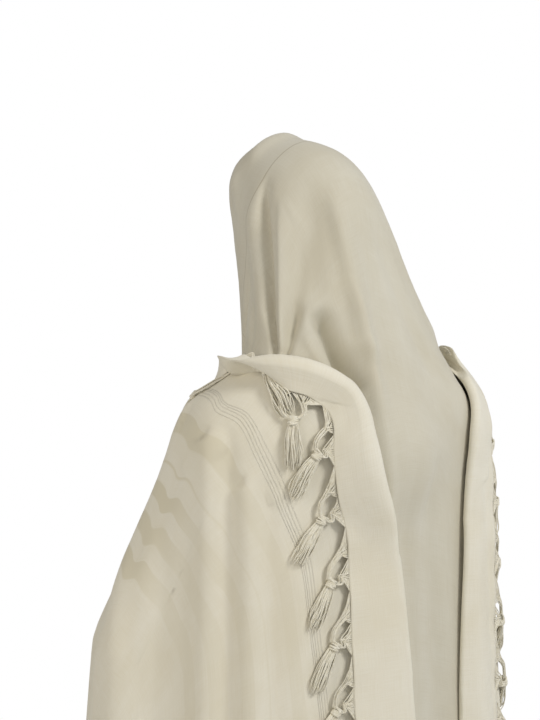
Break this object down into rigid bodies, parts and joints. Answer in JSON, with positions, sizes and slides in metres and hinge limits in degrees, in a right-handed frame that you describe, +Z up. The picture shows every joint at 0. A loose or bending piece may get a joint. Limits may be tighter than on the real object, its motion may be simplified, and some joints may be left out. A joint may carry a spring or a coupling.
{
  "type": "tallit prayer shawl",
  "caption": "Fringed wool prayer shawl worn over the head as a hood, its two ends turned up over the arms, hollow inside.",
  "frame": {"origin": "under the crown of the hood, where the head holds the cloth up", "axes": "+Z up, the wearer faces -Y, the wearer's left is +X"},
  "size_m": [0.7428, 0.3878, 1.5185],
  "materials": {
    "wool": "matt woven wool, undyed",
    "band": "soft woven band with fine ribs",
    "yarn": "twisted wool yarn"
  },
  "bodies": {
    "root": {"body_cloth": "wool", "neckband": "band", "left_throw": "wool", "right_throw": "wool", "left_turned_edge": "wool", "right_turned_edge": "wool", "left_fringe": "yarn", "right_fringe": "yarn", "left_front_tzitzit": "yarn", "left_back_tzitzit": "yarn", "right_front_tzitzit": "yarn", "right_back_tzitzit": "yarn"}
  },
  "joints": []
}
